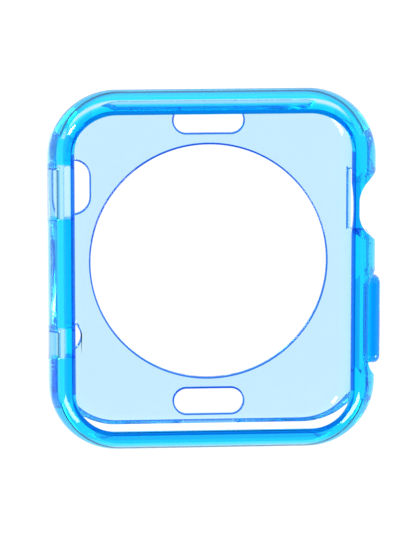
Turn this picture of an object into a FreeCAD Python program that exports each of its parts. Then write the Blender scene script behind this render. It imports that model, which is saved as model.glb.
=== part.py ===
"""Soft clip-on case for a square smartwatch, moulded in clear blue TPU.

Frame, in millimetres: the case lies on its back. The origin is the centre of the round sensor window, on the
outside of the back panel. +X points to the crown side, +Y to the twelve o'clock end, +Z out through the screen.

The real case is a single moulding. Here it is one master form, which openings and planes then divide into the
regions that a maker would name: the bezel, the back panel, three posts, two rails, and the button's web and pad.
"""

import FreeCAD, Part
import os

doc = FreeCAD.newDocument("watch_case")
TINY = 1e-6

# ---------------------------------------------------------------- driving dimensions
DIMENSIONS = (
    ("case_width", 39.8, "over the side walls, without the button pad"),
    ("case_length", 44.2, "twelve o'clock end to six o'clock end"),
    ("case_height", 9.2, "back panel to the top of the bezel"),
    ("case_corner", 8.3, "corner radius in plan"),
    ("back_round", 4.0, "roll from the back up into the side"),
    ("front_round", 3.0, "roll from the side over into the bezel"),
    ("cavity_width", 36.7, "watch body and a little ease"),
    ("cavity_length", 42.7, "watch body and a little ease"),
    ("cavity_corner", 7.2, "corner radius of the watch body"),
    ("cavity_back_round", 3.3, "inner roll at the back"),
    ("cavity_front_round", 2.2, "inner roll under the lip"),
    ("panel_thick", 0.85, "back panel"),
    ("lip_thick", 0.9, "lip that holds the watch in"),
    ("screen_width", 33.4, "opening for the screen"),
    ("screen_length", 38.8, "opening for the screen"),
    ("screen_corner", 4.7, "corner radius of that opening"),
    ("bezel_floor", 6.2, "height of the underside of the bezel"),
    ("panel_width", 34.8, "back panel between the side walls"),
    ("panel_length", 40.2, "back panel between the strap notches"),
    ("panel_sweep", 38.0, "width that the panel's corner arcs would reach"),
    ("panel_corner", 7.5, "radius of those arcs"),
    ("strap_start", 16.6, "how far from the middle the side walls end and the strap notches start"),
    ("window_radius", 14.5, "sensor window, clears a charging puck"),
    ("release_length", 8.5, "slot over a strap release button"),
    ("release_width", 3.05, "slot over a strap release button"),
    ("release_offset", 17.5, "centre of that slot from the middle"),
    ("crown_middle", 7.75, "centre of the crown notch"),
    ("crown_mouth", 8.6, "notch at the outside"),
    ("crown_root", 4.2, "notch at the bridge"),
    ("crown_ease", 3.0, "radius between the bridge and the notch's shoulders"),
    ("crown_bridge", 17.65, "outer face of the bridge over the crown"),
    ("crown_gate", 7.4, "length of the way through under that bridge"),
    ("bridge_inner", 16.95, "inner face of the bridge over the crown"),
    ("bridge_arc", 20.0, "radius of that inner face"),
    ("speaker_middle", 9.45, "centre of the speaker opening"),
    ("speaker_length", 6.5, "speaker opening"),
    ("speaker_reach", 14.6, "how near it comes to the middle"),
    ("speaker_corner", 2.0, "its corner radius"),
    ("mic_middle", 9.05, "centre of the microphone opening, towards six o'clock"),
    ("mic_radius", 1.8, "its round end"),
    ("mic_reach", 17.6, "centre of its round end from the middle"),
    ("button_middle", 6.7, "centre of the button along the side, towards six o'clock"),
    ("button_height", 4.2, "centre of the button above the back"),
    ("scoop_mouth", 13.2, "finger scoop round the button, at the outside"),
    ("scoop_root", 10.4, "finger scoop, at its floor"),
    ("scoop_ease", 2.5, "radius between the scoop's floor and its ends"),
    ("scoop_floor", 18.9, "floor of the scoop from the middle"),
    ("scoop_ledge", 1.7, "height at which the scoop starts"),
    ("web_length", 11.6, "thin web round the button pad"),
    ("web_height", 4.0, "thin web round the button pad"),
    ("pad_length", 10.9, "button pad"),
    ("pad_height", 3.1, "button pad"),
    ("pad_corner", 1.2, "corner radius of the pad's outline"),
    ("pad_edge", 0.75, "rounded rim of the pad"),
    ("pad_gap", 0.1, "free space round the pad, where the web stretches"),
    ("pad_proud", 0.8, "how far the pad stands out past the side"),
    ("pad_inner", 18.4, "inner face of the pad from the middle"),
    ("overrun", 10.0, "how far a cutter runs past the case"),
)
sheet = doc.addObject("Spreadsheet::Sheet", "size")
for line, (alias, number, note) in enumerate(DIMENSIONS, start=1):
    sheet.set(f"A{line}", alias)
    sheet.set(f"B{line}", str(number))
    sheet.set(f"C{line}", note)
    sheet.setAlias(f"B{line}", alias)
doc.recompute()


# ---------------------------------------------------------------- building blocks
def dim(alias):
    """The number in the sheet's cell of that name."""
    return float(getattr(sheet, alias))


def block(name, x, y, z):
    """A box between two planes on each axis. x, y and z are pairs of expressions, low then high."""
    box = doc.addObject("Part::Box", name)
    for side, axis, (low, high) in zip(("Length", "Width", "Height"), "xyz", (x, y, z)):
        box.setExpression(side, f"({high}) - ({low})")
        box.setExpression(f"Placement.Base.{axis}", low)
    doc.recompute()
    return box


def across(width, middle="0"):
    """A pair of planes, width apart, either side of middle."""
    return f"{middle} - ({width}) / 2", f"{middle} + ({width}) / 2"


def post(name, radius, x, y, z):
    """A round cutter standing along Z."""
    cylinder = doc.addObject("Part::Cylinder", name)
    cylinder.setExpression("Radius", radius)
    cylinder.setExpression("Height", f"({z[1]}) - ({z[0]})")
    for axis, place in zip("xyz", (x, y, z[0])):
        cylinder.setExpression(f"Placement.Base.{axis}", place)
    doc.recompute()
    return cylinder


def along(axis):
    """A test for straight edges that run along x, y or z."""
    others = [f"{other.upper()}Length" for other in "xyz" if other != axis]
    return lambda box: all(getattr(box, other) < TINY for other in others)


def flat_at(axis, place):
    """A test for edges that lie wholly in the plane at that place on the axis."""
    low, high = f"{axis.upper()}Min", f"{axis.upper()}Max"
    return lambda box: abs(getattr(box, low) - place) < TINY and abs(getattr(box, high) - place) < TINY


def rounded(name, base, *rounds):
    """A copy of base with fillets. Each round is a test for its edges and the alias of its radius."""
    fillet = doc.addObject("Part::Fillet", name)
    fillet.Base = base
    fillet.Edges = [
        (index, dim(alias), dim(alias))
        for test, alias in rounds
        for index, edge in enumerate(base.Shape.Edges, start=1)
        if test(edge.BoundBox)
    ]
    doc.recompute()
    return fillet


def fuse(name, *shapes):
    both = doc.addObject("Part::MultiFuse", name)
    both.Shapes = list(shapes)
    doc.recompute()
    return both


def cut(name, base, *tools):
    tool = tools[0] if len(tools) == 1 else fuse(f"{name}_tools", *tools)
    rest = doc.addObject("Part::Cut", name)
    rest.Base = base
    rest.Tool = tool
    doc.recompute()
    return rest


def common(name, base, tool):
    shared = doc.addObject("Part::Common", name)
    shared.Base = base
    shared.Tool = tool
    doc.recompute()
    return shared


def flared_notch(name, root, mouth, root_x, z, ease):
    """A cutter into the crown side that widens outwards, with eased corners at its root."""
    wedge = doc.addObject("Part::Wedge", f"{name}_wedge")
    slope = f"(({mouth}) - ({root})) / 2 / (size.case_width / 2 - {root_x})"
    far = f"({root}) / 2 + ({slope}) * size.overrun"
    wedge.setExpression("Xmin", f"-({root}) / 2")
    wedge.setExpression("Xmax", f"({root}) / 2")
    wedge.setExpression("Ymin", "0")
    wedge.setExpression("Ymax", "size.overrun")
    wedge.setExpression("X2min", f"-({far})")
    wedge.setExpression("X2max", far)
    for low, high in (("Zmin", "Zmax"), ("Z2min", "Z2max")):
        wedge.setExpression(low, z[0])
        wedge.setExpression(high, z[1])
    doc.recompute()
    notch = rounded(name, wedge, (lambda box: along("z")(box) and box.YMax < TINY, ease))
    quarter_turn = FreeCAD.Rotation(FreeCAD.Vector(0, 0, 1), -90)
    notch.Placement = FreeCAD.Placement(FreeCAD.Vector(), quarter_turn)
    return notch


# ---------------------------------------------------------------- the master form
def form(name, width, length, z, corner, back, front):
    """A slab with round corners in plan, and rolled edges at the back and the front."""
    slab = block(f"{name}_block", across(width), across(length), z)
    upright = rounded(f"{name}_upright", slab, (along("z"), corner))
    floor, top = slab.Shape.BoundBox.ZMin, slab.Shape.BoundBox.ZMax
    return rounded(name, upright, (flat_at("z", floor), back), (flat_at("z", top), front))


def straight_form(name, width, length, z, corner):
    """A slab with round corners in plan and square edges."""
    slab = block(f"{name}_block", across(width), across(length), z)
    return rounded(name, slab, (along("z"), corner))


outside = form("outside", "size.case_width", "size.case_length", ("0", "size.case_height"),
               "case_corner", "back_round", "front_round")
cavity = form("cavity", "size.cavity_width", "size.cavity_length",
              ("size.panel_thick", "size.case_height - size.lip_thick"),
              "cavity_corner", "cavity_back_round", "cavity_front_round")
screen = straight_form("screen", "size.screen_width", "size.screen_length",
                       ("size.bezel_floor", "size.case_height + size.overrun"), "screen_corner")
shell = cut("shell", outside, cavity, screen)

# ---------------------------------------------------------------- openings in the back
BELOW = ("-size.overrun", "size.bezel_floor")
window = post("window", "size.window_radius", "0", "0", BELOW)


def release_slot(name, side):
    """A slot with round ends over one strap release button. side is 1 or -1."""
    y = f"{side} * size.release_offset"
    reach = "(size.release_length - size.release_width) / 2"
    straight = block(f"{name}_straight", across(f"2 * {reach}"), across("size.release_width", y), BELOW)
    ends = [post(f"{name}_end_{n}", "size.release_width / 2", f"{sign}{reach}", y, BELOW)
            for n, sign in enumerate(("-", ""))]
    return fuse(name, straight, *ends)


release_slots = [release_slot("release_slot_12", 1), release_slot("release_slot_6", -1)]

# The strap notches take the end walls and the corners away, all round the outline of the back panel.
ACROSS_CASE = across("size.case_width + size.overrun")
STRAP_REACH = ("size.strap_start", "size.case_length / 2 + size.overrun")
panel_sweep = straight_form("panel_sweep", "size.panel_sweep", "size.panel_length", BELOW, "panel_corner")
strap_12 = block("strap_12", ACROSS_CASE, STRAP_REACH, BELOW)
strap_6 = block("strap_6", ACROSS_CASE, tuple(f"-({plane})" for plane in reversed(STRAP_REACH)), BELOW)
strap_notches = cut("strap_notches", fuse("strap_regions", strap_12, strap_6), panel_sweep)

# ---------------------------------------------------------------- openings in the speaker side
speaker_block = block("speaker_block", ("-size.case_width / 2 - size.overrun", "-size.speaker_reach"),
                      across("size.speaker_length", "size.speaker_middle"), BELOW)
speaker = rounded("speaker", speaker_block, (along("z"), "speaker_corner"))

mic = fuse("mic",
           post("mic_round", "size.mic_radius", "-size.mic_reach", "-size.mic_middle", BELOW),
           block("mic_way", ("-size.case_width / 2 - size.overrun", "-size.mic_reach"),
                 across("2 * size.mic_radius", "-size.mic_middle"), BELOW))

# ---------------------------------------------------------------- openings in the crown side
crown_notch = flared_notch("crown_notch", "size.crown_root", "size.crown_mouth", "size.crown_bridge",
                           ("-size.overrun", "size.case_height + size.overrun"), "crown_ease")
crown_notch.setExpression("Placement.Base.x", "size.crown_bridge")
crown_notch.setExpression("Placement.Base.y", "size.crown_middle")

crown_gate = block("crown_gate", ("size.panel_width / 2", "size.case_width / 2 + size.overrun"),
                   across("size.crown_gate", "size.crown_middle"), BELOW)

# The inner face of the bridge is a shallow arc, cut by a slice of a wide cylinder.
bridge_arc = post("bridge_arc", "size.bridge_arc", "size.bridge_inner - size.bridge_arc",
                  "size.crown_middle", ("size.bezel_floor", "size.case_height + size.overrun"))
bridge_arc.Angle = 40
bridge_arc.Placement.Rotation = FreeCAD.Rotation(FreeCAD.Vector(0, 0, 1), -20)

scoop = flared_notch("scoop", "size.scoop_root", "size.scoop_mouth", "size.scoop_floor",
                     ("size.scoop_ledge", "size.case_height + size.overrun"), "scoop_ease")
scoop.setExpression("Placement.Base.x", "size.scoop_floor")
scoop.setExpression("Placement.Base.y", "-size.button_middle")
doc.recompute()

moulding = cut("moulding", shell, window, *release_slots, strap_notches, speaker, mic,
               crown_notch, crown_gate, bridge_arc, scoop)

# ---------------------------------------------------------------- dividing the moulding
EVERYWHERE = across("2 * size.case_length + size.overrun")
above_floor = block("above_floor", EVERYWHERE, EVERYWHERE, ("size.bezel_floor", "size.case_height + size.overrun"))
panel_strip = block("panel_strip", across("size.panel_width"), EVERYWHERE, BELOW)
panel_outline = common("panel_outline", panel_sweep, panel_strip)
walls = cut("walls", moulding, above_floor, panel_outline)

web_region = block("web_region", ("size.panel_width / 2", "size.case_width / 2 + size.overrun"),
                   across("size.web_length", "-size.button_middle"),
                   across("size.web_height", "size.button_height"))


def quarter(name, x, y):
    """The part of the walls between two planes on X and two on Y, without the button's web."""
    region = block(f"{name}_region", x, y, BELOW)
    return cut(name, common(f"{name}_whole", walls, region), web_region)


def pad_form(name, ease, inner, outer):
    """The button pad's outline, grown by ease all round, from inner to outer along X."""
    slab = block(f"{name}_block", (inner, outer),
                 across(f"size.pad_length + 2 * ({ease})", "-size.button_middle"),
                 across(f"size.pad_height + 2 * ({ease})", "size.button_height"))
    return rounded(f"{name}_upright", slab, (along("x"), "pad_corner"))


def make_button_pad():
    proud = "size.case_width / 2 + size.pad_proud"
    upright = pad_form("pad", "0", "size.pad_inner", proud)
    return rounded("button_pad", upright, (flat_at("x", upright.Shape.BoundBox.XMax), "pad_edge"))


def make_button_web():
    hole = pad_form("pad_hole", "size.pad_gap", "0", "size.case_width")
    return cut("button_web", common("web_whole", walls, web_region), hole)


NEAR = "size.panel_width / 4"
FAR = "size.case_width / 2 + size.overrun"
END = "size.case_length / 2 + size.overrun"
nodes = {
    "front_bezel": common("front_bezel", moulding, above_floor),
    "back_panel": common("back_panel", moulding, panel_outline),
    "crown_side_post": quarter("crown_side_post", (NEAR, FAR), ("size.crown_middle", END)),
    "crown_side_rail": quarter("crown_side_rail", (NEAR, FAR), (f"-({END})", "size.crown_middle")),
    "speaker_side_post": quarter("speaker_side_post", (f"-({FAR})", f"-{NEAR}"), ("size.speaker_middle", END)),
    "speaker_side_rail": quarter("speaker_side_rail", (f"-({FAR})", f"-{NEAR}"),
                                 ("-size.mic_middle", "size.speaker_middle")),
    "mic_side_post": quarter("mic_side_post", (f"-({FAR})", f"-{NEAR}"), (f"-({END})", "-size.mic_middle")),
    "button_web": make_button_web(),
    "button_pad": make_button_pad(),
}

# ---------------------------------------------------------------- check and write
doc.recompute()
for thing in doc.Objects:
    if "Invalid" in thing.State or "Error" in thing.State:
        raise RuntimeError(f"{thing.Name} did not build: {thing.State}")
for name, node in nodes.items():
    node.Label = name
    if node.Shape.isNull() or not node.Shape.isValid():
        raise RuntimeError(f"{name} has no valid shape")

os.makedirs("parts", exist_ok=True)
for name, node in nodes.items():
    node.Shape.exportStep(os.path.join("parts", f"{name}.step"))
    box = node.Shape.BoundBox
    print(f"{name}: {len(node.Shape.Solids)} solid, {node.Shape.Volume:.1f} mm3, "
          f"{box.XLength:.2f} x {box.YLength:.2f} x {box.ZLength:.2f} mm")
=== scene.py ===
# %% [markdown]
# # A soft watch case in clear blue TPU
#
# This lesson dresses a CAD model of a bumper case for a square smart watch. The CAD model fixes every size.
# What is left is how the case looks: one moulding of soft, clear, dyed plastic on a bright white table.
# Clear plastic is mostly about what light does inside it, so the mesh has to be one closed skin with no
# walls hidden inside, and the colour has to follow the plastic: pale where it is thin, strong where it is
# thick.

# %% Load the frame
import math

import bmesh
import bpy
from mathutils import Matrix, Vector


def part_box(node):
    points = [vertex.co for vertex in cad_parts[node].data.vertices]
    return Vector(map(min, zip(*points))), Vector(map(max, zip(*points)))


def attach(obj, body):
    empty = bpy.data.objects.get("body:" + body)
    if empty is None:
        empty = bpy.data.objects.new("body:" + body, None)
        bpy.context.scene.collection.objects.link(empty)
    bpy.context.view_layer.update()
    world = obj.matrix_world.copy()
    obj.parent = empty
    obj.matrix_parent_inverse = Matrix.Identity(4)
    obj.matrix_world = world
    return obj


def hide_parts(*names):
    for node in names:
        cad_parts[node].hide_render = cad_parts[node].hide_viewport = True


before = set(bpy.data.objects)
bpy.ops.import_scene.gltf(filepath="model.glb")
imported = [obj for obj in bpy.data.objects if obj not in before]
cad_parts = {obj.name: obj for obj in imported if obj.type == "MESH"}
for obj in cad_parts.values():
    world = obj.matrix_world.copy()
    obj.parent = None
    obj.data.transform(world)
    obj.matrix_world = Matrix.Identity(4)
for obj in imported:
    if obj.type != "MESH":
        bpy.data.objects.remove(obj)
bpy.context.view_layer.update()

# %% [markdown]
# ## Sizes
#
# The mesh is worked out in millimetres and shrunk to metres at the very end, because Blender's boolean tool
# is surer of itself with numbers near one than with numbers near a thousandth. The outer sizes are read
# from the CAD nodes. The walls, rolls and corners can't be read from a box, so they are named in a cell of
# their own.

# %% Sizes read from the CAD nodes
MM = 0.001


def corners_mm(node):
    """A CAD node's lowest and highest corner, in millimetres."""
    low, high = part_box(node)
    return Vector(low) / MM, Vector(high) / MM


bezel_low, bezel_high = corners_mm("front_bezel")
panel_low, panel_high = corners_mm("back_panel")
pad_low, pad_high = corners_mm("button_pad")
web_low = corners_mm("button_web")[0]

HALF_WIDTH = bezel_high.x
HALF_LENGTH = bezel_high.y
HEIGHT = bezel_high.z
BEZEL_FLOOR = bezel_low.z
print("case:", round(2 * HALF_WIDTH, 2), "x", round(2 * HALF_LENGTH, 2), "x", round(HEIGHT, 2), "mm")

# %% Walls, corners and rolls
SIDE_WALL = 1.55
END_WALL = 0.75
PANEL = 0.85
LIP = 0.9
CASE_CORNER = 8.3
CAVITY_CORNER = 7.2
SCREEN_HALF_WIDTH = 16.7
SCREEN_HALF_LENGTH = 19.4
SCREEN_CORNER = 4.7
BACK_ROLL = 4.0
FRONT_ROLL = 3.0
CAVITY_BACK_ROLL = 3.3
CAVITY_FRONT_ROLL = 2.2
print("walls:", SIDE_WALL, "mm at the sides,", END_WALL, "mm at the ends,", PANEL, "mm at the back")

# %% [markdown]
# ## The camera
#
# The case is seen from about half a metre through a long lens, which keeps its parallel edges nearly
# parallel. The camera stands almost straight above it, a little towards the twelve o'clock end and the
# speaker side, so that the walls show as well as the bezel.

# %% Camera
LEAN_BACK = math.radians(10.3)
LEAN_LEFT = math.radians(4.2)
DISTANCE = 0.45
VIEW_HEIGHT = 0.0658
SENSOR = 36.0
AIM_SHIFT = Vector((-0.42, -0.36, 0))


def aim_camera(target):
    """A camera that looks down at the target, with the case's twelve o'clock end at the top."""
    camera = bpy.data.objects.new("camera", bpy.data.cameras.new("camera"))
    camera.data.sensor_width = SENSOR
    camera.data.lens = SENSOR * DISTANCE / VIEW_HEIGHT
    towards = Vector((-math.sin(LEAN_LEFT), math.sin(LEAN_BACK), math.cos(LEAN_BACK))).normalized()
    right = Vector((0, 1, 0)).cross(towards).normalized()
    turn = Matrix((right, towards.cross(right), towards)).transposed()
    camera.matrix_world = Matrix.Translation(target + DISTANCE * towards) @ turn.to_4x4()
    bpy.context.scene.collection.objects.link(camera)
    bpy.context.scene.camera = camera
    return camera


camera = aim_camera((Vector((0, 0, HEIGHT / 2)) + AIM_SHIFT) * MM)
print("lens:", round(camera.data.lens), "mm")

# %% [markdown]
# ## Rings
#
# A moulded shell like this is easiest to see as a section that is carried round a rounded rectangle: up the
# outside, over the lip, and down the inside. Each point of that section becomes a ring. A ring starts as
# one square face from create_grid, and bevelling its four corner vertices rounds it. Every ring has the
# same number of vertices, so bridge_loops can join each one to the next with clean strips of quads.

# %% A ring
CORNER_STEPS = 20


def ring(bm, half_x, half_y, corner, z):
    """A rounded rectangle of loose edges at height z."""
    grid = bmesh.ops.create_grid(bm, x_segments=1, y_segments=1, size=1)["verts"]
    bmesh.ops.scale(bm, vec=(half_x, half_y, 1), verts=grid)
    bmesh.ops.translate(bm, vec=(0, 0, z), verts=grid)
    rim = bmesh.ops.bevel(bm, geom=grid, offset=corner, offset_type="OFFSET", segments=CORNER_STEPS,
                          profile=0.5, affect="VERTICES", clamp_overlap=False, material=-1)["verts"]
    faces = {face for vert in rim for face in vert.link_faces}
    bmesh.ops.delete(bm, geom=list(faces), context="FACES_ONLY")
    return list({edge for vert in rim for edge in vert.link_edges})


print("each ring has", 4 * CORNER_STEPS + 4, "vertices")

# %% [markdown]
# ## Rolls
#
# Where two walls of the case meet, the mould has a roll: a quarter of a tube that is carried round the
# outline. A bevel on the finished shell could round those corners too, but the rolls here are wider than
# the walls are thick, and a bevel that wide would run into itself. So each roll is a fan of rings round its
# centre line.

# %% The rings of a roll
ROLL_STEPS = 8


def roll(radius, half_x, half_y, corner, z, turn_from, turn_to):
    """The stations round part of a tube. half_x, half_y, corner and z are its centre line."""
    for step in range(ROLL_STEPS + 1):
        angle = math.radians(turn_from + (turn_to - turn_from) * step / ROLL_STEPS)
        out = radius * math.cos(angle)
        yield half_x + out, half_y + out, corner + out, z + radius * math.sin(angle)


print("each roll has", ROLL_STEPS + 1, "rings")

# %% [markdown]
# ## The shell's section
#
# The section is a list of stations. Each one is a half width, a half length, a corner radius and a height.
# It runs from the flat outside of the back, up the side, over the lip and down to the flat inside of the
# back. The lip's edge is fully round, so the flat of the lip leaves that round where the two are tangent,
# above and below.

# %% Where the lip's round edge starts and ends
LIP_EDGE = LIP / 2
lip_middle = Vector((SCREEN_HALF_WIDTH + LIP_EDGE, HEIGHT - LIP_EDGE))
front_roll_middle = Vector((HALF_WIDTH - FRONT_ROLL, HEIGHT - FRONT_ROLL))
cavity_roll_middle = Vector((HALF_WIDTH - SIDE_WALL - CAVITY_FRONT_ROLL, HEIGHT - LIP - CAVITY_FRONT_ROLL))


def heading(start, end):
    """The direction from start to end in the section, in degrees above the outward direction."""
    along = end - start
    return math.degrees(math.atan2(along.y, along.x))


lip_top = heading(front_roll_middle, lip_middle)
gap = (lip_middle - cavity_roll_middle).length
lip_under = heading(cavity_roll_middle, lip_middle) - math.degrees(
    math.acos((LIP_EDGE + CAVITY_FRONT_ROLL) / gap))
print("the lip's round edge runs from", round(lip_top, 1), "to", round(lip_under + 180, 1), "degrees")

# %% The stations of the section


def inset(sizes, by):
    """A half width, half length and corner radius, all made smaller by the same amount."""
    return tuple(size - by for size in sizes)


def stations():
    """The half sizes, corner radius and height of every ring, from the outside round to the inside."""
    outside = (HALF_WIDTH, HALF_LENGTH, CASE_CORNER)
    inside = (HALF_WIDTH - SIDE_WALL, HALF_LENGTH - END_WALL, CAVITY_CORNER)
    screen = (SCREEN_HALF_WIDTH, SCREEN_HALF_LENGTH, SCREEN_CORNER)
    yield from roll(BACK_ROLL, *inset(outside, BACK_ROLL), BACK_ROLL, -90, 0)
    yield from roll(FRONT_ROLL, *inset(outside, FRONT_ROLL), front_roll_middle.y, 0, lip_top)
    yield from roll(-LIP_EDGE, *inset(screen, -LIP_EDGE), lip_middle.y, lip_top - 180, lip_under)
    yield from roll(CAVITY_FRONT_ROLL, *inset(inside, CAVITY_FRONT_ROLL), cavity_roll_middle.y, lip_under, 0)
    yield from roll(CAVITY_BACK_ROLL, *inset(inside, CAVITY_BACK_ROLL), PANEL + CAVITY_BACK_ROLL, 0, -90)


print("the section has", len(list(stations())), "stations")

# %% [markdown]
# ## The shell
#
# The rings are bridged, and two plain faces close the flats of the back. The strips along the sides are
# then 30 mm long and a fraction of a millimetre wide. A cutter that nicks such a strip leaves one long,
# thin polygon, and the smooth normals that Blender spreads across it are wrong along its whole length,
# which clear plastic shows as a dark line. So bisect_plane slices the shell crosswise first, close to each
# side opening, and a nick then stays a local matter.

# %% The closed shell, sliced crosswise
SAME_POINT = 0.001
CROSS_CUTS = (13.3, 5.0, 2.6, 0.6, -3.0, -6.4, -11.4, -12.6)


def make_shell():
    """The whole case before anything is cut out of its sides and back."""
    bm = bmesh.new()
    rings = [ring(bm, *station) for station in stations()]
    for first, second in zip(rings, rings[1:]):
        bmesh.ops.bridge_loops(bm, edges=first + second)
    bmesh.ops.holes_fill(bm, edges=rings[0] + rings[-1])
    bmesh.ops.remove_doubles(bm, verts=bm.verts, dist=SAME_POINT)
    for y in CROSS_CUTS:
        everything = bm.verts[:] + bm.edges[:] + bm.faces[:]
        bmesh.ops.bisect_plane(bm, geom=everything, plane_co=(0, y, 0), plane_no=(0, 1, 0))
    bmesh.ops.recalc_face_normals(bm, faces=bm.faces)
    return bm


def as_object(name, bm):
    """A finished bmesh as an object in the scene, still in millimetres."""
    mesh = bpy.data.meshes.new(name)
    bm.to_mesh(mesh)
    bm.free()
    piece = bpy.data.objects.new(name, mesh)
    bpy.context.scene.collection.objects.link(piece)
    return piece


moulding = as_object("case_moulding", make_shell())
print("shell:", len(moulding.data.polygons), "faces")

# %% [markdown]
# ## Cutters
#
# The openings could be modelled into the shell's faces one loop at a time, but each of them meets a rolled
# wall, and the exact crossing line is just what the boolean tool finds. So each opening is a closed cutter,
# like the core pin of the mould, and it is a little longer than the wall is thick so that no two faces lie
# in one plane. A block with some of its edges rounded does for nearly all of them.

# %% Blocks to cut with
PAST = 6.0
UP = Vector((0, 0, 1))
OUTWARDS = Vector((1, 0, 0))
PARALLEL = 0.99


def cutter_block(bm, low, high, corner=0.0, steps=8, round_along=UP):
    """A block between two corners. The edges that run along round_along are rounded."""
    low, high = Vector(low), Vector(high)
    verts = bmesh.ops.create_cube(bm, size=1)["verts"]
    bmesh.ops.scale(bm, vec=high - low, verts=verts)
    bmesh.ops.translate(bm, vec=(low + high) / 2, verts=verts)
    if corner:
        edges = dict.fromkeys(edge for vert in verts for edge in vert.link_edges)
        chosen = [edge for edge in edges
                  if abs((edge.verts[1].co - edge.verts[0].co).normalized().dot(round_along)) > PARALLEL]
        bmesh.ops.bevel(bm, geom=chosen, offset=corner, offset_type="OFFSET", segments=steps, profile=0.5,
                        affect="EDGES", clamp_overlap=False, material=-1)


def cutter(name, *blocks, **round_edges):
    """One cutter object made of several blocks that don't touch each other."""
    bm = bmesh.new()
    for low, high in blocks:
        cutter_block(bm, low, high, **round_edges)
    return as_object(name, bm)


print("cutters reach", PAST, "mm past the walls")

# %% Carving


def carve(target, tool):
    """Cuts the tool out of the target and throws the tool away."""
    modifier = target.modifiers.new(tool.name, "BOOLEAN")
    modifier.object = tool
    modifier.operation = "DIFFERENCE"
    modifier.solver = "EXACT"
    depsgraph = bpy.context.evaluated_depsgraph_get()
    carved = bpy.data.meshes.new_from_object(target.evaluated_get(depsgraph))
    target.modifiers.clear()
    spent = target.data
    target.data = carved
    bpy.data.meshes.remove(spent)
    print(f"{tool.name} cut: {target.name} has {len(carved.polygons)} faces")
    bpy.data.objects.remove(tool)


# %% [markdown]
# ## The sensor window and the release slots
#
# The round window is the biggest opening in the back: the watch's sensor looks through it, and the charging
# puck goes in it. Two slots with round ends lie over the buttons that release the strap. The window's
# cutter is a cylinder. A slot is a block whose corners are rounded by a hair less than half its width,
# because two bevels that meet exactly would leave faces with no area.

# %% Window and release slots
WINDOW_RADIUS = 14.5
WINDOW_SEGMENTS = 144
NEARLY_ROUND = 0.998
ROUND_END_STEPS = 12
RELEASE_HALF_LENGTH = 4.25
RELEASE_HALF_WIDTH = 1.525
RELEASE_OFFSET = 17.5
RELEASE_TOP = 5.0


def window_cutter():
    """A cylinder through the back, with as many sides as its edge needs to look round."""
    bm = bmesh.new()
    bmesh.ops.create_cone(bm, cap_ends=True, segments=WINDOW_SEGMENTS, radius1=WINDOW_RADIUS,
                          radius2=WINDOW_RADIUS, depth=PAST)
    return as_object("window", bm)


def release_slot(side):
    """The two corners of the slot at one end of the case."""
    return ((-RELEASE_HALF_LENGTH, side * RELEASE_OFFSET - RELEASE_HALF_WIDTH, -PAST),
            (RELEASE_HALF_LENGTH, side * RELEASE_OFFSET + RELEASE_HALF_WIDTH, RELEASE_TOP))


carve(moulding, window_cutter())
carve(moulding, cutter("release_slots", release_slot(1), release_slot(-1),
                       corner=NEARLY_ROUND * RELEASE_HALF_WIDTH, steps=ROUND_END_STEPS))

# %% [markdown]
# ## The strap notches
#
# The watch's strap leaves it at both ends, so each notch takes the whole end wall and both corners away, up
# to the bezel, and leaves the back panel standing with its own rounded outline. A notch could be cut in
# steps round that outline. It is simpler to make the cutter a block over each end of the case, with the
# outline of the panel taken out of the cutter first.

# %% Strap notches
STRAP_START = 16.6
PANEL_SWEEP_HALF_WIDTH = 19.0
PANEL_CORNER = 7.5
PANEL_CORNER_STEPS = 20


def strap_ends():
    """A block over each end of the case, below the bezel and wider than the case."""
    wide = HALF_WIDTH + PAST
    return cutter("strap_ends",
                  ((-wide, STRAP_START, -PAST), (wide, HALF_LENGTH + PAST, BEZEL_FLOOR)),
                  ((-wide, -HALF_LENGTH - PAST, -PAST), (wide, -STRAP_START, BEZEL_FLOOR)))


def panel_outline():
    """The back panel's rounded outline, as a block that is taller than the strap notches."""
    return cutter("panel_outline",
                  ((-PANEL_SWEEP_HALF_WIDTH, panel_low.y, -2 * PAST),
                   (PANEL_SWEEP_HALF_WIDTH, panel_high.y, 2 * PAST)),
                  corner=PANEL_CORNER, steps=PANEL_CORNER_STEPS)


strap_tool = strap_ends()
carve(strap_tool, panel_outline())
carve(moulding, strap_tool)

# %% [markdown]
# ## Openings in the speaker side
#
# The speaker and the microphone each have a way out through the side wall that also bites into the back
# panel. The bites have round inner ends, because a sharp inner corner in soft plastic is where a tear
# starts.

# %% Speaker and microphone
SPEAKER_MIDDLE = 9.45
SPEAKER_HALF_LENGTH = 3.25
SPEAKER_REACH = 14.6
SPEAKER_CORNER = 2.0
MIC_MIDDLE = -9.05
MIC_RADIUS = 1.8
MIC_REACH = 15.8


def side_way(middle, half_length, reach):
    """The two corners of a way out through the speaker side's wall. It goes in as far as reach."""
    return ((-HALF_WIDTH - PAST, middle - half_length, -PAST), (-reach, middle + half_length, BEZEL_FLOOR))


carve(moulding, cutter("speaker_way", side_way(SPEAKER_MIDDLE, SPEAKER_HALF_LENGTH, SPEAKER_REACH),
                       corner=SPEAKER_CORNER))
carve(moulding, cutter("mic_way", side_way(MIC_MIDDLE, MIC_RADIUS, MIC_REACH),
                       corner=NEARLY_ROUND * MIC_RADIUS, steps=ROUND_END_STEPS))

# %% [markdown]
# ## Openings in the crown side
#
# A notch with sloping shoulders lets a finger reach the crown. Only a thin bridge of the bezel crosses it,
# and under the bridge a gate goes right through. Further down, a shallow scoop surrounds the button pad.
# Notch and scoop are both a block that flares outwards, so one helper makes the two of them.

# %% A flared block
TOUCHING = 0.01
FLARE_STEPS = 10


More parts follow.
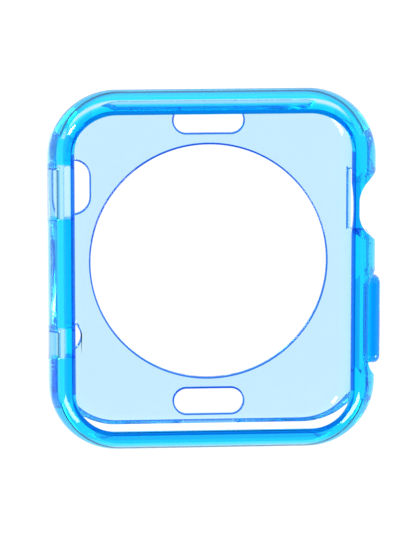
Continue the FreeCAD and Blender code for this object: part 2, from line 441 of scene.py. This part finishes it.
def flared_cutter(name, middle, root, half_root, half_mouth, floor, ease):
    """A block from root outwards along X, half_root wide there and half_mouth wide at the side wall."""
    slope = (half_mouth - half_root) / (HALF_WIDTH - root)
    bm = bmesh.new()
    verts = bmesh.ops.create_cube(bm, size=2)["verts"]
    bmesh.ops.scale(bm, vec=(PAST / 2, half_root, PAST), verts=verts)
    bmesh.ops.translate(bm, vec=(root + PAST / 2, 0, floor + PAST), verts=verts)
    mouth = [vert for vert in verts if vert.co.x > root + PAST / 2]
    bmesh.ops.scale(bm, vec=(1, (half_root + slope * PAST) / half_root, 1), verts=mouth)
    bmesh.ops.translate(bm, vec=(0, middle, 0), verts=verts)
    at_root = [edge for edge in bm.edges if all(vert.co.x < root + TOUCHING for vert in edge.verts)
               and abs(edge.verts[0].co.z - edge.verts[1].co.z) > PAST]
    set_back = ease * math.tan(math.atan(1 / slope) / 2)
    print(f"{name}: its shoulders slope {math.degrees(math.atan(slope)):.0f} degrees")
    bmesh.ops.bevel(bm, geom=at_root, offset=set_back, offset_type="OFFSET", segments=FLARE_STEPS,
                    profile=0.5, affect="EDGES", clamp_overlap=False, material=-1)
    return as_object(name, bm)


# %% Crown notch and gate
CROWN_MIDDLE = 7.75
CROWN_NOTCH = {"root": 17.65, "half_root": 2.1, "half_mouth": 4.3, "floor": -1.0, "ease": 3.0}
GATE_HALF_LENGTH = 3.7

carve(moulding, flared_cutter("crown_notch", CROWN_MIDDLE, **CROWN_NOTCH))
carve(moulding, cutter("crown_gate", ((panel_high.x, CROWN_MIDDLE - GATE_HALF_LENGTH, -PAST),
                                      (HALF_WIDTH + PAST, CROWN_MIDDLE + GATE_HALF_LENGTH, BEZEL_FLOOR))))

# %% [markdown]
# ## The bridge over the crown
#
# The inner face of the bridge isn't straight: a shallow arc hollows it, so that the bridge is slim over the
# crown. The cutter is one slice of a wide cylinder. The rest of the cylinder would cut the opposite side of
# the case, so bisect_plane drops it and holes_fill closes the slice.

# %% The arc that hollows the bridge
BRIDGE_ARC = 20.0
BRIDGE_INNER = 16.95
BRIDGE_SEGMENTS = 400
BRIDGE_SLICE = SCREEN_HALF_WIDTH - 2


def bridge_arc_cutter():
    """A slice of a wide cylinder that hollows the inner face of the bridge."""
    bm = bmesh.new()
    bmesh.ops.create_cone(bm, cap_ends=True, segments=BRIDGE_SEGMENTS, radius1=BRIDGE_ARC,
                          radius2=BRIDGE_ARC, depth=PAST)
    centre = (BRIDGE_INNER - BRIDGE_ARC, CROWN_MIDDLE, BEZEL_FLOOR + PAST / 2)
    bmesh.ops.translate(bm, vec=centre, verts=bm.verts)
    everything = bm.verts[:] + bm.edges[:] + bm.faces[:]
    bmesh.ops.bisect_plane(bm, geom=everything, plane_co=(BRIDGE_SLICE, 0, 0), plane_no=(1, 0, 0),
                           clear_inner=True)
    bmesh.ops.holes_fill(bm, edges=[edge for edge in bm.edges if edge.is_boundary])
    return as_object("bridge_arc", bm)


carve(moulding, bridge_arc_cutter())

# %% [markdown]
# ## The scoop and the pad's hole
#
# The scoop thins the wall round the side button to a web, so that a press goes through it. The pad stands
# on that web. On the real case web and pad are one, and the web bends. Here the pad moves as a piece of its
# own, so the web has a hole for it with a tenth of a millimetre to spare.

# %% Finger scoop and pad hole
BUTTON_MIDDLE = (pad_low.y + pad_high.y) / 2
FINGER_SCOOP = {"root": 18.9, "half_root": 5.2, "half_mouth": 6.6, "floor": 1.7, "ease": 2.5}
PAD_CORNER = 1.2
PAD_GAP = 0.1
HOLE_START = web_low.x - 1

carve(moulding, flared_cutter("finger_scoop", BUTTON_MIDDLE, **FINGER_SCOOP))
carve(moulding, cutter("pad_hole", ((HOLE_START, pad_low.y - PAD_GAP, pad_low.z - PAD_GAP),
                                    (HALF_WIDTH + PAST, pad_high.y + PAD_GAP, pad_high.z + PAD_GAP)),
                       corner=PAD_CORNER, round_along=OUTWARDS))

# %% [markdown]
# ## Easing the cut edges
#
# A mould leaves no knife edges: where a core meets the wall, the plastic has a small round. In clear
# plastic such a round bends the light and shows as a thin blue line, so it can't be left out. The cutters
# could carry rounds, but their crossings with the rolled walls would still be sharp. So the edges that the
# boolean tool left are found by the angle at which their faces turn, and one bevel rounds them all. An edge
# is taken only where it has room. Beside the finger scoop and on the line where the back's roll starts, the
# faces are too narrow. An edge that turns by more than 120 degrees is a knife edge, and a bevel on it would
# fold over its neighbours.

# %% Which edges have room for a round
EDGE_ROUND = 0.2
CUT_ANGLE = math.radians(40)
KNIFE_ANGLE = math.radians(120)
SCOOP_INNER = panel_high.x + 0.5
SCOOP_HALF_LENGTH = 8.0
BACK_FLAT = 0.05
ROOF_END = STRAP_START - 1


def has_room(edge):
    """Whether an edge is below the bezel and clear of the scoop, or ends the roof of a side opening."""
    start, end = (vert.co for vert in edge.verts)
    middle = (start + end) / 2
    low, high = min(start.z, end.z), max(start.z, end.z)
    runs_across = abs(start.x - end.x) > abs(start.y - end.y)
    runs_along = abs(start.x - end.x) < abs(start.y - end.y)
    in_scoop = middle.x > SCOOP_INNER and abs(middle.y - BUTTON_MIDDLE) < SCOOP_HALF_LENGTH
    on_roll_line = (runs_along and middle.z < BACK_FLAT
                    and abs(middle.x + HALF_WIDTH - BACK_ROLL) < EDGE_ROUND)
    in_roof = BEZEL_FLOOR - TOUCHING < low and high < BEZEL_FLOOR + TOUCHING
    ends_roof = in_roof and runs_across and middle.x < 0 and abs(middle.y) < ROOF_END
    below_bezel = high < BEZEL_FLOOR - TOUCHING
    return ends_roof or below_bezel and not in_scoop and not on_roll_line


print("rounds of", EDGE_ROUND, "mm where faces turn by", round(math.degrees(CUT_ANGLE)), "to",
      round(math.degrees(KNIFE_ANGLE)), "degrees")

# %% [markdown]
# ## Painted deep blue shade on the edges
#
# Dyed clear plastic carries light along inside a flat panel and out at the edges, and a rounded edge bends
# light a long way through the dye, so the edges look a much deeper blue than the flat. A render finds those
# long paths only slowly, so that deep blue is painted shade. The faces that should have it carry a number,
# an attribute, and the material paints them deep blue by it: the eased edges of the panel and the roofs,
# and the edge of the lip, fully on its long straight sides and less at its ends and corners.

# %% Which places get painted edge shade
PANEL_EDGE = panel_high.x + 0.1
PANEL_ZONE_TOP = 2.5
ROOF_ZONE_FLOOR = BEZEL_FLOOR - 0.3
LIP_ZONE_FLOOR = BEZEL_FLOOR + 1
LIP_REACH = 0.5
LIP_REACH_AT_SIX = 0.9
# How much painted shade the lip's edge gets on its long sides, and at its ends and corners.
LONG_LIP_SHADE = 1.0
END_LIP_SHADE = 0.35


def in_sight(place):
    """Whether an eased edge belongs to the open part of the panel or to a side opening's roof, and gets
    painted shade.
    """
    on_panel = abs(place.x) < PANEL_EDGE and place.y < SCREEN_HALF_LENGTH and place.z < PANEL_ZONE_TOP
    return on_panel or place.z > ROOF_ZONE_FLOOR


def on_lip_edge(place):
    """Whether a place gets the lip's painted edge shade: on the lip's edge, or the wider slope at its six
    o'clock end.
    """
    reach = LIP_REACH_AT_SIX if place.y < -SCREEN_HALF_LENGTH else LIP_REACH
    past_x = max(abs(place.x) - (SCREEN_HALF_WIDTH - SCREEN_CORNER), 0)
    past_y = max(abs(place.y) - (SCREEN_HALF_LENGTH - SCREEN_CORNER), 0)
    return place.z > LIP_ZONE_FLOOR and math.hypot(past_x, past_y) - SCREEN_CORNER < reach


def lip_edge_shade(place):
    """How much painted shade the lip's edge gets: fully on its long straight sides, less at its ends and
    corners.
    """
    return LONG_LIP_SHADE if abs(place.y) < SCREEN_HALF_LENGTH - SCREEN_CORNER else END_LIP_SHADE


print("the lip's edge is deep to", LIP_REACH, "mm from the screen opening")

# %% Ease the edges and mark the ones with painted shade
EDGE_SHADE_ATTRIBUTE = "painted_edge_shade"
CRUMB = 0.02
EASE_STEPS = 3


def ease_cut_edges(piece):
    """Rounds the edges that the cutters left sharp, wherever there is room, and marks the faces for painted
    shade.
    """
    bm = bmesh.new()
    bm.from_mesh(piece.data)
    deep = bm.faces.layers.float.new(EDGE_SHADE_ATTRIBUTE)
    bmesh.ops.remove_doubles(bm, verts=bm.verts, dist=CRUMB)
    bmesh.ops.dissolve_degenerate(bm, edges=bm.edges, dist=CRUMB)
    sharp = [edge for edge in bm.edges if edge.is_manifold
             and CUT_ANGLE < edge.calc_face_angle() < KNIFE_ANGLE and has_room(edge)]
    eased = bmesh.ops.bevel(bm, geom=sharp, offset=EDGE_ROUND, offset_type="OFFSET", segments=EASE_STEPS,
                            profile=0.5, affect="EDGES", clamp_overlap=False, material=-1)["faces"]
    bmesh.ops.recalc_face_normals(bm, faces=bm.faces)
    # The eased edges in sight and the lip's edge are marked for painted deep blue shade.
    for face in eased:
        face[deep] = float(in_sight(face.calc_center_median()))
    for face in bm.faces:
        place = face.calc_center_median()
        if on_lip_edge(place):
            face[deep] = lip_edge_shade(place)
    print("cut edges rounded:", len(sharp), "deep faces:", sum(face[deep] > 0 for face in bm.faces))
    bm.to_mesh(piece.data)
    bm.free()


def measure(piece):
    """Prints a piece's face count and volume, and how many of its edges are open."""
    bm = bmesh.new()
    bm.from_mesh(piece.data)
    open_edges = sum(len(edge.link_faces) != 2 for edge in bm.edges)
    print(f"{piece.name}: {len(bm.faces)} faces, {bm.calc_volume():.0f} cubic mm, {open_edges} open edges")
    bm.free()


ease_cut_edges(moulding)
measure(moulding)

# %% [markdown]
# ## The button pad
#
# The pad stands on the thin web over the watch's side button. It is thick seen from the front, so it looks
# a deeper blue than the wall round it. It is a block with a rounded outline and a softly rounded rim. It
# slides with the button, so it is a piece of its own that rides on the button's body.

# %% Button pad
PAD_CORNER_STEPS = 10
PAD_RIM = 0.75
PAD_RIM_STEPS = 8


def make_pad():
    """The pad: a block whose outline is rounded first and whose outer rim is rounded after it."""
    bm = bmesh.new()
    cutter_block(bm, pad_low, pad_high, corner=PAD_CORNER, steps=PAD_CORNER_STEPS, round_along=OUTWARDS)
    rim = [edge for edge in bm.edges if all(vert.co.x > pad_high.x - TOUCHING for vert in edge.verts)]
    bmesh.ops.bevel(bm, geom=rim, offset=PAD_RIM, offset_type="OFFSET", segments=PAD_RIM_STEPS, profile=0.5,
                    affect="EDGES", clamp_overlap=False, material=-1)
    return as_object("side_button_pad", bm)


button_pad = make_pad()
measure(button_pad)

# %% [markdown]
# ## Shading the mesh
#
# The mesh goes from millimetres to metres here. Faces are shaded smooth, and only edges that turn by more
# than the sharp angle stay crisp. A Weighted Normal modifier lets the big flat faces decide the normals
# next to them, so the flat back doesn't pick up soft shadows from the rolls around it.

# %% To metres, with smooth shading
SHARP_ANGLE = math.radians(32)
BIG_FACES_FIRST = 100


def finish_mesh(piece):
    """Shrinks a piece to metres and shades it smooth between its crisp edges."""
    piece.data.transform(Matrix.Scale(MM, 4))
    piece.data.polygons.foreach_set("use_smooth", [True] * len(piece.data.polygons))
    piece.data.set_sharp_from_angle(angle=SHARP_ANGLE)
    weighted = piece.modifiers.new("even_normals", "WEIGHTED_NORMAL")
    weighted.keep_sharp = True
    weighted.weight = BIG_FACES_FIRST
    piece.data.update()
    print(piece.name, "measures", [round(1000 * side, 2) for side in piece.dimensions], "mm")


for piece in (moulding, button_pad):
    finish_mesh(piece)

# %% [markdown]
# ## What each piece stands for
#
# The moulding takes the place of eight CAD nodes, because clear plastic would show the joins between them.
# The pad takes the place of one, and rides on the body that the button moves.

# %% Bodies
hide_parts("front_bezel", "back_panel", "crown_side_post", "crown_side_rail",
            "speaker_side_post", "speaker_side_rail", "mic_side_post", "button_web")
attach(moulding, "case")
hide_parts("button_pad")
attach(button_pad, "side_button")
print("pieces:", moulding.name, "and", button_pad.name)

# %% [markdown]
# ## Helpers for materials
#
# Colours are written as sRGB hex values, as a colour picker gives them, but Blender mixes light with linear
# numbers, so one function turns the first into the second. Materials are built from nodes, and one function
# adds a node: it sets the node's own settings, and fills each socket with a value or with a link from
# another node.

# %% Colours and nodes


def linear(hex_colour):
    """An sRGB hex colour as the linear numbers that Blender mixes light with, and full alpha."""
    channels = [int(hex_colour[place:place + 2], 16) / 255 for place in (1, 3, 5)]
    return (*(c / 12.92 if c <= 0.04045 else ((c + 0.055) / 1.055) ** 2.4 for c in channels), 1)


def add_node(tree, kind, settings=None, sockets=None):
    """Adds a node with its settings. Each socket takes a value or another node's output."""
    node = tree.nodes.new(kind)
    for name, value in (settings or {}).items():
        setattr(node, name, value)
    for name, value in (sockets or {}).items():
        if isinstance(value, bpy.types.NodeSocket):
            tree.links.new(value, node.inputs[name])
        else:
            node.inputs[name].default_value = value
    return node


def new_material(name):
    """An empty material and its node tree."""
    material = bpy.data.materials.new(name)
    material.use_nodes = True
    material.node_tree.nodes.clear()
    return material, material.node_tree


print("middle grey in linear numbers:", round(linear("#808080")[0], 3))

# %% [markdown]
# ## The mould's dots
#
# Clear soft cases often carry very fine dots, which keep the plastic from clinging to the watch and looking
# wet there. They are too shallow to change the outline, and modelling thousands of them would cost far more
# than they show. A Voronoi texture makes one cell for each dot, and a bump turns the middle of each cell
# into a mound. They give the flat faces a faint sparkle. The pitch is 0.6 mm, as fine as still shows from
# half a metre.

# %% Dots
DOT_PITCH = 0.6
DOT_DEPTH = 0.004
DOT_SCATTER = 0.4
DOT_SHARE = 0.25


def add_dots(tree, place):
    """The mould's fine dots, as a bump that reads the piece's own coordinates."""
    dots = add_node(tree, "ShaderNodeTexVoronoi", None, {
        "Vector": place.outputs["Object"], "Scale": 1 / (DOT_PITCH * MM), "Randomness": DOT_SCATTER})
    mounds = add_node(tree, "ShaderNodeMapRange", {"interpolation_type": "SMOOTHSTEP"}, {
        "Value": dots.outputs["Distance"], "From Min": 0.0, "From Max": DOT_SHARE,
        "To Min": 1.0, "To Max": 0.0})
    return add_node(tree, "ShaderNodeBump", None, {
        "Height": mounds.outputs["Result"], "Strength": 1.0, "Distance": DOT_DEPTH * MM})


print("dots every", DOT_PITCH, "mm,", 1000 * DOT_DEPTH, "micrometres high")

# %% [markdown]
# ## Where the plastic is thin
#
# The case is pale where light crosses a thin wall and strong where it crosses a thick one. Absorption in
# the volume alone gives a weaker difference than real dyed plastic has, so a tint on the surface adds to
# it: painted light where the plastic is thin, and painted shade, a deeper blue, where it is thick. The tint
# needs to know where it is. Its shares, numbers from 0 to 1, are worked out from the piece's own
# coordinates: how high, how far along, and how far inside the outline a place is.

# %% Shares of a place
SOFT_EDGE = 0.12


def fade(tree, source, start, end):
    """A share that goes from 0 at start to 1 at end, both in millimetres."""
    return add_node(tree, "ShaderNodeMapRange", {"interpolation_type": "SMOOTHSTEP"}, {
        "Value": source, "From Min": start * MM, "From Max": end * MM}).outputs["Result"]


def combined(tree, operation, *shares):
    """Several shares or numbers combined by one operation, such as MULTIPLY, from left to right."""
    whole = shares[0]
    for share in shares[1:]:
        node = add_node(tree, "ShaderNodeMath", {"operation": operation}, {0: whole, 1: share})
        whole = node.outputs["Value"]
    return whole


def between(tree, source, low, high):
    """A share that is 1 between low and high and 0 outside them, in millimetres."""
    return combined(tree, "MULTIPLY", fade(tree, source, low - SOFT_EDGE, low + SOFT_EDGE),
                    fade(tree, source, high + SOFT_EDGE, high - SOFT_EDGE))


def depth_inside(tree, place):
    """How far a place is inside the case's outline in plan, in metres."""
    source = place.outputs["Object"]
    corner_middle = Vector((HALF_WIDTH - CASE_CORNER, HALF_LENGTH - CASE_CORNER, 0)) * MM
    steps = (("ABSOLUTE", None), ("SUBTRACT", corner_middle),
             ("MAXIMUM", (0, 0, 0)), ("MULTIPLY", (1, 1, 0)))
    for operation, vector in steps:
        sockets = {0: source} if vector is None else {0: source, 1: vector}
        source = add_node(tree, "ShaderNodeVectorMath", {"operation": operation}, sockets).outputs["Vector"]
    length = add_node(tree, "ShaderNodeVectorMath", {"operation": "LENGTH"}, {0: source})
    return combined(tree, "SUBTRACT", CASE_CORNER * MM, length.outputs["Value"])


print("shares fade over", 2 * SOFT_EDGE, "mm")

# %% [markdown]
# ## The tint of the moulding, with painted light and shade
#
# The tint is pale on the panel and strong on the walls and the bezel, and it fades in with height up the
# wall: the dye's colour with painted light where little plastic lies in the light's way and painted shade
# where much does. It stays pale, as painted light, in three places where the bezel has an opening under it,
# and on the outermost edge of the left and of the six o'clock side, where the rolled wall is thin. Each
# opening lies 3 mm below the surface that the tint is on, so the patches over the side openings sit 0.65 mm
# nearer to twelve o'clock than the openings. Last, the marked edge faces turn deep blue, as painted shade.

# %% Places of painted light
ROOF_SHIFT = 0.65
# Painted shade grows up the wall, and painted light pales the outer left and six o'clock edges, in
# millimetres.
WALL_SHADE_FADE = (1.0, 3.5)
LEFT_EDGE_LIGHT_FADE = (-19.9, -18.6)
BOTTOM_EDGE_LIGHT_FADE = (-22.1, -21.2)
LEFT_HALF = (0.1, -0.1)


def over(middle, half_length):
    """Where a patch over a side opening starts and ends along the case."""
    return middle - half_length + ROOF_SHIFT, middle + half_length + ROOF_SHIFT


# Pale patches of painted light over the openings under the bezel, where light comes up through them.
PAINTED_LIGHT_PATCHES = (
    {"under": "strap notch at twelve o'clock", "depths": (1.05, 1.65),
     "along": (STRAP_START, HALF_LENGTH), "left_only": False},
    {"under": "speaker opening", "depths": (0.75, 2.7),
     "along": over(SPEAKER_MIDDLE, SPEAKER_HALF_LENGTH), "left_only": True},
    {"under": "microphone opening", "depths": (0.95, 2.1),
     "along": over(MIC_MIDDLE, MIC_RADIUS), "left_only": True},
)
for thin in PAINTED_LIGHT_PATCHES:
    print("pale over the", thin["under"], "at", thin["depths"], "mm inside the outline")

# %% The moulding's tint


def painted_light_share(tree, inside, along, across):
    """A share that is 1 over the three patches of painted light and 0 elsewhere."""
    whole = 0.0
    for thin in PAINTED_LIGHT_PATCHES:
        patch = [between(tree, inside, *thin["depths"]), between(tree, along, *thin["along"])]
        if thin["left_only"]:
            patch.append(fade(tree, across, *LEFT_HALF))
        whole = combined(tree, "MAXIMUM", whole, combined(tree, "MULTIPLY", *patch))
    return whole


def add_case_tint_and_painted_light(tree, place, panel, wall, deep):
    """The surface tint, painted light and shade: pale where the plastic is thin, strong over the walls,
    deepest on the cut edges.
    """
    parts = add_node(tree, "ShaderNodeSeparateXYZ", None, {"Vector": place.outputs["Object"]})
    across, along, up = (parts.outputs[axis] for axis in "XYZ")
    thin = painted_light_share(tree, depth_inside(tree, place), along, across)
    # strong is the share of the walls' painted shade; painted light keeps the patches and outer edges pale.
    strong = combined(tree, "MULTIPLY", combined(tree, "SUBTRACT", 1.0, thin), fade(tree, up, *WALL_SHADE_FADE),
                      fade(tree, across, *LEFT_EDGE_LIGHT_FADE), fade(tree, along, *BOTTOM_EDGE_LIGHT_FADE))
    body = add_node(tree, "ShaderNodeMixRGB", None, {
        "Fac": strong, "Color1": linear(panel), "Color2": linear(wall)})
    # The marked edge faces are painted deep blue, as shade.
    edges = add_node(tree, "ShaderNodeAttribute", {"attribute_name": EDGE_SHADE_ATTRIBUTE})
    return add_node(tree, "ShaderNodeMixRGB", None, {
        "Fac": edges.outputs["Fac"], "Color1": body.outputs["Color"], "Color2": linear(deep)})


print("the tint is full from", WALL_SHADE_FADE[1], "mm up the wall")

# %% [markdown]
# ## The tint of the pad
#
# Where the pad passes through the web it looks like the wall round it, and where it stands out it is a
# deeper blue, because light that enters it has no thin way out. That deeper blue is painted shade, and one
# fade along X paints it.

# %% The pad's tint
# Where the pad's painted shade fades in along X, in millimetres.
PAD_SHADE_FADE = (19.3, 19.8)


def add_pad_tint_and_painted_shade(tree, place, wall, outer):
    """The pad's tint: like the wall where it passes through it, and painted deeper shade where it stands out.
    """
    parts = add_node(tree, "ShaderNodeSeparateXYZ", None, {"Vector": place.outputs["Object"]})
    return add_node(tree, "ShaderNodeMixRGB", None, {
        "Fac": fade(tree, parts.outputs["X"], *PAD_SHADE_FADE), "Color1": linear(wall), "Color2": linear(outer)})


print("the pad turns deep from", PAD_SHADE_FADE[0], "to", PAD_SHADE_FADE[1], "mm")

# %% [markdown]
# ## Moulded TPU
#
# TPU (thermoplastic polyurethane) is clear like glass, with an index of refraction of about 1.5, and a
# polished mould leaves it glossy. Its dye is mixed all through it. A Volume Absorption node takes out red
# fast, green slowly and blue hardly at all, so a longer way through the plastic gives a deeper blue. The
# roughness is small but not zero, because soft plastic copies the mould's polish a little less sharply than
# glass would.

# %% The recipe for clear TPU
TPU_IOR = 1.5


def clear_tpu(name, absorbed, roughness, add_tint, **colours):
    """Clear moulded TPU. absorbed is how much of red, green and blue light each millimetre takes out."""
    material, tree = new_material(name)
    strongest = max(absorbed)
    place = add_node(tree, "ShaderNodeTexCoord")
    surface = add_node(tree, "ShaderNodeBsdfPrincipled", None, {
        "Base Color": add_tint(tree, place, **colours).outputs["Color"], "Roughness": roughness,
        "IOR": TPU_IOR, "Transmission Weight": 1.0, "Normal": add_dots(tree, place).outputs["Normal"]})
    volume = add_node(tree, "ShaderNodeVolumeAbsorption", None, {
        "Color": (*(1 - part / strongest for part in absorbed), 1), "Density": strongest / MM})
    add_node(tree, "ShaderNodeOutputMaterial", None, {
        "Surface": surface.outputs["BSDF"], "Volume": volume.outputs["Volume"]})
    return material


def dress(piece, material):
    """Gives a piece its one material."""
    piece.data.materials.clear()
    piece.data.materials.append(material)
    print(f"{piece.name} is {material.name}, {len(material.node_tree.nodes)} nodes")


# %% The two finishes
# The moulding gives a bright cyan bezel over a panel so pale that the white below it comes through, with blue
# lines at the panel's openings. The cyan is partly painted shade, the pale is partly painted light, and the
# lines are painted shade. The pad gives an even, deeper blue, partly painted shade, with softer highlights.
# The wall cyan is the dye with painted shade in it, and the panel's pale is the dye with painted light in it.
WALL_CYAN = "#02d4ff"
PANEL_PALE = "#d3efff"
# The edge blue is painted shade: the deep blue lines that rounded edges give.
PAINTED_EDGE_SHADE_BLUE = "#033fda"
# The pad's blue is painted shade: the deeper blue where the pad stands out.
PAD_PAINTED_SHADE_BLUE = "#02a2ff"

dress(moulding, clear_tpu("clear blue TPU, moulded gloss", (0.12, 0.02, 0.003), 0.04, add_case_tint_and_painted_light,
                          panel=PANEL_PALE, wall=WALL_CYAN, deep=PAINTED_EDGE_SHADE_BLUE))
dress(button_pad, clear_tpu("deep blue TPU, moulded gloss", (0.3, 0.05, 0.003), 0.06, add_pad_tint_and_painted_shade,
                            wall=WALL_CYAN, outer=PAD_PAINTED_SHADE_BLUE))

# %% [markdown]
# ## The floor
#
# Clear things look their best on a light table: a white sheet that glows evenly. The glow comes through the
# plastic and shows its colour, and there is hardly a shadow.

# %% Light table
FLOOR_HALF = 3.0
FLOOR_DROP = 0.1
FLOOR_GLOW = 1.04


def make_floor():
    """A wide white sheet just under the case. Its own light is stronger than what it throws back."""
    bm = bmesh.new()
    bmesh.ops.create_grid(bm, x_segments=1, y_segments=1, size=FLOOR_HALF)
    floor = as_object("light_table", bm)
    material, tree = new_material("white acrylic, lit from below")
    surface = add_node(tree, "ShaderNodeBsdfPrincipled", None, {
        "Base Color": linear("#404040"), "Roughness": 0.8, "Specular IOR Level": 0.0,
        "Emission Color": linear("#ffffff"), "Emission Strength": FLOOR_GLOW})
    add_node(tree, "ShaderNodeOutputMaterial", None, {"Surface": surface.outputs["BSDF"]})
    floor.data.materials.append(material)
    floor.location.z = -FLOOR_DROP * MM
    return floor


print(make_floor().name, "is", 2 * FLOOR_HALF, "m wide")

# %% [markdown]
# ## The sky
#
# Everything round the case is mirrored in its gloss. A pale blue sky keeps those reflections in the colour
# of the plastic, and a dim patch straight overhead keeps the flat faces that look up at it from being
# washed out.

# %% Pale blue sky
SKY_BLUE = "#a0d8ff"
PATCH_FADE = (0.7, 0.95)
SKY_STRENGTH = 1.0
PATCH_STRENGTH = 0.15


def make_sky():
    """A pale blue sky with a dim patch overhead, whose soft edge is given as sines of its height."""
    world = bpy.data.worlds.new("pale_blue_sky")
    world.use_nodes = True
    tree = world.node_tree
    place = add_node(tree, "ShaderNodeTexCoord")
    parts = add_node(tree, "ShaderNodeSeparateXYZ", None, {"Vector": place.outputs["Generated"]})
    strength = add_node(tree, "ShaderNodeMapRange", {"interpolation_type": "SMOOTHSTEP"}, {
        "Value": parts.outputs["Z"], "From Min": PATCH_FADE[0], "From Max": PATCH_FADE[1],
        "To Min": SKY_STRENGTH, "To Max": PATCH_STRENGTH})
    tree.nodes["Background"].inputs["Color"].default_value = linear(SKY_BLUE)
    tree.links.new(strength.outputs["Result"], tree.nodes["Background"].inputs["Strength"])
    bpy.context.scene.world = world
    return world


print("sky:", make_sky().name)

# %% [markdown]
# ## Soft boxes
#
# Three soft boxes put small bright highlights on the rolls and corners. They stand to the sides, about 40
# degrees above the table, so that the flat panel doesn't mirror them into the camera. A bigger box gives a
# longer highlight with softer ends.

# %% Three soft boxes
SOFT_BOXES = (
    ("far_softbox", (-0.45, 0.25, 0.45), (0.12, 0.12), 1.5),
    ("right_softbox", (0.4, -0.35, 0.4), (0.26, 0.2), 2.6),
    ("left_softbox", (-0.4, -0.35, 0.4), (0.26, 0.2), 2.0),
)


def add_softbox(name, place, size, watts):
    """A rectangular area light that faces the case. Place and size are in metres."""
    light = bpy.data.lights.new(name, "AREA")
    light.shape = "RECTANGLE"
    light.size, light.size_y = size
    light.energy = watts
    lamp = bpy.data.objects.new(name, light)
    lamp.location = place
    lamp.rotation_euler = (-Vector(place)).to_track_quat("-Z", "Y").to_euler()
    bpy.context.scene.collection.objects.link(lamp)
    print(name, "at", round(Vector(place).length, 2), "m,", watts, "W")


for soft_box in SOFT_BOXES:
    add_softbox(*soft_box)

# %% [markdown]
# ## How often light may bounce
#
# Inside clear plastic light is reflected over and over before it finds a way out. Blender stops a path that
# has used up its bounces and counts it as black, which shows as dark blotches in the thick walls.
# Reflection inside a clear body counts as glossy, so it is the glossy limit above all that is set high
# here.

# %% Bounces and colour
BOUNCES = {"max_bounces": 80, "glossy_bounces": 64, "transmission_bounces": 48, "diffuse_bounces": 4}

scene = bpy.context.scene
scene.view_settings.view_transform = "Standard"
for limit, count in BOUNCES.items():
    setattr(scene.cycles, limit, count)
    print(limit, count)
